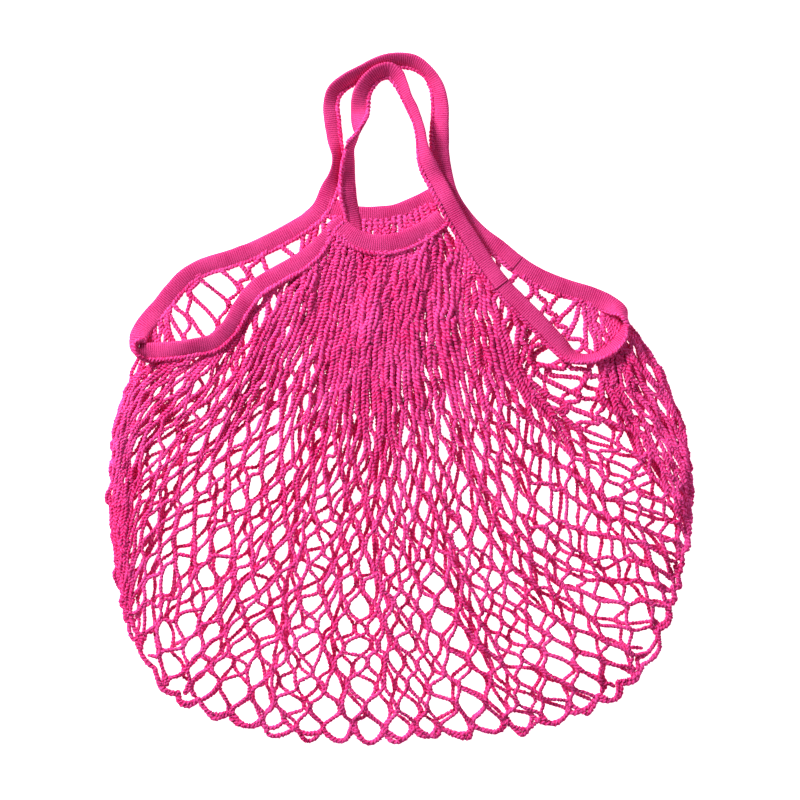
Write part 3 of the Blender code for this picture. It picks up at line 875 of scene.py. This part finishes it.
# Materials
class Cotton:
    """A matt cotton material, and nodes for the pattern and the painted shade on it."""

    def __init__(self, name):
        self.material = bpy.data.materials.new(name)
        self.material.use_nodes = True
        self.nodes, self.links = self.material.node_tree.nodes, self.material.node_tree.links
        self.shader = self.nodes["Principled BSDF"]
        for socket, value in COTTON_SHADER:
            self.shader.inputs[socket].default_value = value
        self.object_place = self.nodes.new("ShaderNodeTexCoord").outputs["Object"]
        uv = self.nodes.new("ShaderNodeUVMap")
        uv.uv_map = UV_NAME
        parts = self.nodes.new("ShaderNodeSeparateXYZ")
        self.links.new(uv.outputs[0], parts.inputs[0])
        self.along, self.beside = parts.outputs[:2]

    def compute(self, operation, first, second=0.0):
        node = self.nodes.new("ShaderNodeMath")
        node.operation = operation
        for socket, value in zip(node.inputs, (first, second)):
            if hasattr(value, "links"):
                self.links.new(value, socket)
            else:
                socket.default_value = value
        return node.outputs[0]

    def noise(self, scale, detail):
        node = self.nodes.new("ShaderNodeTexNoise")
        node.inputs["Scale"].default_value = scale
        node.inputs["Detail"].default_value = detail
        self.links.new(self.object_place, node.inputs["Vector"])
        return node.outputs[0]

    def add(self, total, *rows):
        """A number and values, each with its share, added up."""
        for value, share in rows:
            total = self.compute("ADD", self.compute("MULTIPLY", value, share), total)
        return total

    def finish(self, tone, dark, light, light_from, strength, depth):
        """Colours the surface from dark to light by the tone, where dark is painted shade and darker dye,
        and raises it where the tone is light.
        """
        ramp = self.nodes.new("ShaderNodeValToRGB")
        for element, place, colour in zip(ramp.color_ramp.elements, (DARK_TO, light_from), (dark, light)):
            element.position = place
            element.color = (*colour, 1)
        self.links.new(tone, ramp.inputs[0])
        self.links.new(ramp.outputs[0], self.shader.inputs["Base Color"])
        bump = self.nodes.new("ShaderNodeBump")
        bump.inputs["Strength"].default_value = strength
        bump.inputs["Distance"].default_value = depth
        self.links.new(tone, bump.inputs["Height"])
        self.links.new(bump.outputs[0], self.shader.inputs["Normal"])
        return self.material


def cord_material(colours):
    """Twisted cotton cord: plies along the twist with painted shade in the grooves between them, loose
    fibre and uneven dye.
    """
    cotton = Cotton(CORD_COTTON)
    # Painted shade: the thin sides of each cord's section, its grooves, and the gaps between its plies
    # along it are coloured darker
    groove_shade = cotton.compute("COSINE", cotton.compute("MULTIPLY", cotton.beside, 4 * math.pi))
    ply_shade = cotton.compute("SINE", cotton.compute("MULTIPLY", cotton.along, 2 * math.pi / PLY_PITCH))
    fibre, dye = cotton.noise(2600, 3), cotton.noise(45, 2)
    tone = cotton.add(-0.25, (groove_shade, 0.15), (ply_shade, 0.07), (fibre, 1.0), (dye, 0.5))
    return cotton.finish(tone, colours.cord_shade_and_dark_dye, colours.cord_light, 0.68, 0.45, 0.0004)


def tape_material(colours, sizes):
    """Knitted cotton tape: stitches in rows across it with painted shade between its ribs and wales, fibre
    and uneven dye.
    """
    cotton = Cotton("knitted_tape")
    row = cotton.compute("MULTIPLY", cotton.along, 2 * math.pi / (sizes.rib_pitch / MM))
    wale = cotton.compute("SINE", cotton.compute("MULTIPLY", cotton.beside, 2 * math.pi / WALE_PITCH))
    # Painted shade: the tape is coloured darker between its ribs and between its wales
    rib = cotton.compute("SINE", cotton.compute("ADD", row, cotton.compute("MULTIPLY", wale, WALE_BEND)))
    fibre, dye = cotton.noise(2200, 3), cotton.noise(60, 2)
    tone = cotton.add(-0.2, (rib, 0.21), (wale, 0.05), (fibre, 1.0), (dye, 0.4))
    return cotton.finish(tone, colours.tape_shade_and_dark_dye, colours.tape_light, 0.6, 0.6, 0.0003)


# What a user would change
def length_property(label, text, default):
    return bpy.props.FloatProperty(
        name=label, description=text, default=default, min=0.0, unit="LENGTH", precision=5
    )


def share_property(label, text, default):
    return bpy.props.FloatProperty(name=label, description=text, default=default, min=0.0)


def colour_property(label, text, default):
    return bpy.props.FloatVectorProperty(
        name=label, description=text, default=default, min=0.0, max=1.0, size=3, subtype="COLOR"
    )


class NetBagSizes(bpy.types.PropertyGroup):
    """Sizes of the net's cords, its unevenness, the tape and its stitches."""

    cord_wide: length_property("Cord wide", "Half of the cord's wider side", 0.0019)
    cord_thin: length_property("Cord thin", "Half of the cord's narrower side", 0.00136)
    cord_step: length_property("Cord step", "Distance between a cord's rings", 0.00115)
    twist_pitch: length_property("Twist pitch", "Distance between the cord's bumps", 0.0028)
    joint_length: length_property("Joint length", "Stretch where two cords lie side by side", 0.0062)
    joint_spread: length_property("Joint spread", "Half of the distance between cords at a joint", 0.0011)
    bow: length_property("Bow", "How far cords bow between their joints", 0.0008)
    bunching: share_property("Bunching", "How far columns gather, in columns", 0.12)
    knot_jitter: share_property("Knot jitter", "How far single knots stray across, in columns", 0.09)
    knot_slip: length_property("Knot slip", "How far single knots stray down the net", 0.0019)
    slip: length_property("Slip", "How far rows of knots slide down the net", 0.003)
    lift: length_property("Lift", "Height of the front layer's folds", 0.0009)
    layer_drift: length_property("Layer drift", "How unevenly the back layer lies", 0.0026)
    rib_pitch: length_property("Rib pitch", "Distance between the tape's ribs", 0.0016)
    rib_height: length_property("Rib height", "Height of the tape's ribs", 0.00018)
    tape_step: length_property("Tape step", "Distance between the tape's rings", 0.00053)
    stitch_pitch: length_property("Stitch pitch", "Length of an edge stitch", 0.0032)
    stitch_reach: length_property("Stitch reach", "How far the edge stitches stray across", 0.0003)
    stitch_wide: length_property("Stitch wide", "Half of the rolled edge's wider side", 0.0019)
    stitch_thin: length_property("Stitch thin", "Half of the rolled edge's narrower side", 0.0014)


class NetBagColours(bpy.types.PropertyGroup):
    """Colours of the cotton, whose dark ones are painted shade and darker dye."""

    # Painted shade: the colour of the cord's grooves between its plies, also reached where the dye is
    # darkest
    cord_shade_and_dark_dye: colour_property("Cord dark", "Colour between the cord's plies", (0.66, 0.002, 0.09))
    cord_light: colour_property("Cord light", "Colour of the cord's plies", (1.0, 0.105, 0.44))
    # Painted shade: the colour between the tape's ribs, also reached where the dye is darkest
    tape_shade_and_dark_dye: colour_property("Tape dark", "Colour between the tape's ribs", (0.42, 0.003, 0.075))
    tape_light: colour_property("Tape light", "Colour of the tape's ribs", (0.84, 0.075, 0.30))


def dress(piece, node):
    """Puts a piece on the bag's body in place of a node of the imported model."""
    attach(piece, BODY)
    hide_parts(node)


class NETBAG_OT_net(bpy.types.Operator):
    """Build the fine net of both layers"""

    bl_idname = "net_bag.net"
    bl_label = "Build Net"

    def execute(self, context):
        sizes = context.scene.net_bag_sizes
        material = cord_material(context.scene.net_bag_colours)
        cord = (sizes.cord_step, sizes.cord_wide, sizes.cord_thin, sizes.twist_pitch)
        noise = make_noise(sizes)
        hems = []
        for name, is_front, seed in LAYERS:
            surface = NetSurface(is_front)
            chains = chain_stops(surface, sizes, seed)
            rng = np.random.default_rng(seed + 2)
            routes = [route_chain(surface, noise, chain, sizes, rng) for chain in chains]
            middle = len(routes) // 2
            for part, group in (("left", routes[:middle]), ("right", routes[middle:])):
                piece = make_cords(f"{name}_{part}", group, cord, material, rng)
                dress(piece, "net")
            hems.append(hem_path(surface, noise))
        hem = make_cords("net_hem", hems, cord, material, np.random.default_rng(HEM_SEED))
        dress(hem, "net")
        return {"FINISHED"}


class NETBAG_OT_tapes(bpy.types.Operator):
    """Build the knitted tape of the mouth and the handles"""

    bl_idname = "net_bag.tapes"
    bl_label = "Build Tapes"

    def execute(self, context):
        sizes = context.scene.net_bag_sizes
        material = tape_material(context.scene.net_bag_colours, sizes)
        for seed, name in enumerate(TAPES):
            piece = make_tape(name, sizes, material, seed)
            dress(piece, name)
        return {"FINISHED"}


class NETBAG_OT_stitches(bpy.types.Operator):
    """Build the chain stitches along the tape's edges"""

    bl_idname = "net_bag.stitches"
    bl_label = "Build Stitches"

    def execute(self, context):
        sizes = context.scene.net_bag_sizes
        material = bpy.data.materials[CORD_COTTON]
        rng = np.random.default_rng(STITCH_SEED)
        step = sizes.stitch_pitch / STITCH_RINGS
        cord = (step, sizes.stitch_wide, sizes.stitch_thin, sizes.stitch_pitch)
        for name, row in EDGE_ROLLS.items():
            piece = make_cords(name, [edge_path(row, sizes)], cord, material, rng)
            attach(piece, BODY)
        return {"FINISHED"}


# Stage
def make_floor():
    bpy.ops.object.select_all(action="DESELECT")
    bpy.ops.mesh.primitive_plane_add(size=FLOOR_SIZE, location=(0, 0, FLOOR_LEVEL))
    floor = bpy.context.object
    floor.name = "floor"
    material = bpy.data.materials.new("white_table")
    material.use_nodes = True
    shader = material.node_tree.nodes["Principled BSDF"]
    shader.inputs["Base Color"].default_value = (0.9, 0.9, 0.9, 1)
    shader.inputs["Roughness"].default_value = 0.9
    shader.inputs["Emission Color"].default_value = WHITE
    shader.inputs["Emission Strength"].default_value = 1.0
    floor.data.materials.append(material)


def make_lights(scene):
    for name, place, power, size in LIGHTS:
        light = bpy.data.lights.new(name, "AREA")
        light.energy = power
        light.size = size
        lamp = bpy.data.objects.new(name, light)
        scene.collection.objects.link(lamp)
        lamp.location = place
        lamp.rotation_euler = (-Vector(place)).to_track_quat("-Z", "Y").to_euler()
    scene.world = bpy.data.worlds.new("studio")
    scene.world.use_nodes = True
    sky = scene.world.node_tree.nodes["Background"]
    sky.inputs["Color"].default_value = WHITE
    sky.inputs["Strength"].default_value = SKY_STRENGTH
    scene.view_settings.view_transform = "Standard"


def make_camera(scene):
    """A camera straight above the bag that sees the photo's width."""
    camera = bpy.data.cameras.new("camera")
    camera.lens, camera.sensor_width = LENS, SENSOR
    camera.clip_start, camera.clip_end = CAMERA_RANGE
    eye = bpy.data.objects.new("camera", camera)
    scene.collection.objects.link(eye)
    eye.location = (0, 0, LENS * PHOTO_WIDTH / SENSOR + SEEN_LEVEL)
    scene.camera = eye


class NETBAG_OT_stage(bpy.types.Operator):
    """Build the floor, the lights and the camera"""

    bl_idname = "net_bag.stage"
    bl_label = "Build Stage"

    def execute(self, context):
        make_floor()
        make_lights(context.scene)
        make_camera(context.scene)
        return {"FINISHED"}


class NETBAG_PT_panel(bpy.types.Panel):
    """Builds the net bag from the sidebar"""

    bl_idname = "NETBAG_PT_panel"
    bl_label = "Net Bag"
    bl_space_type = "VIEW_3D"
    bl_region_type = "UI"
    bl_category = "Net Bag"

    def draw(self, context):
        layout = self.layout
        for group in (context.scene.net_bag_sizes, context.scene.net_bag_colours):
            for name in group.bl_rna.properties.keys():
                if name not in ("rna_type", "name"):
                    layout.prop(group, name)
        for operator in OPERATORS:
            layout.operator(operator.bl_idname)


OPERATORS = (NETBAG_OT_net, NETBAG_OT_tapes, NETBAG_OT_stitches, NETBAG_OT_stage)
CLASSES = (NetBagSizes, NetBagColours, *OPERATORS, NETBAG_PT_panel)


def register():
    for item in CLASSES:
        bpy.utils.register_class(item)
    bpy.types.Scene.net_bag_sizes = bpy.props.PointerProperty(type=NetBagSizes)
    bpy.types.Scene.net_bag_colours = bpy.props.PointerProperty(type=NetBagColours)


def unregister():
    del bpy.types.Scene.net_bag_colours
    del bpy.types.Scene.net_bag_sizes
    for item in reversed(CLASSES):
        bpy.utils.unregister_class(item)


def main():
    register()
    bpy.ops.net_bag.net()
    bpy.ops.net_bag.tapes()
    bpy.ops.net_bag.stitches()
    bpy.ops.net_bag.stage()


if __name__ == "__main__":
    main()
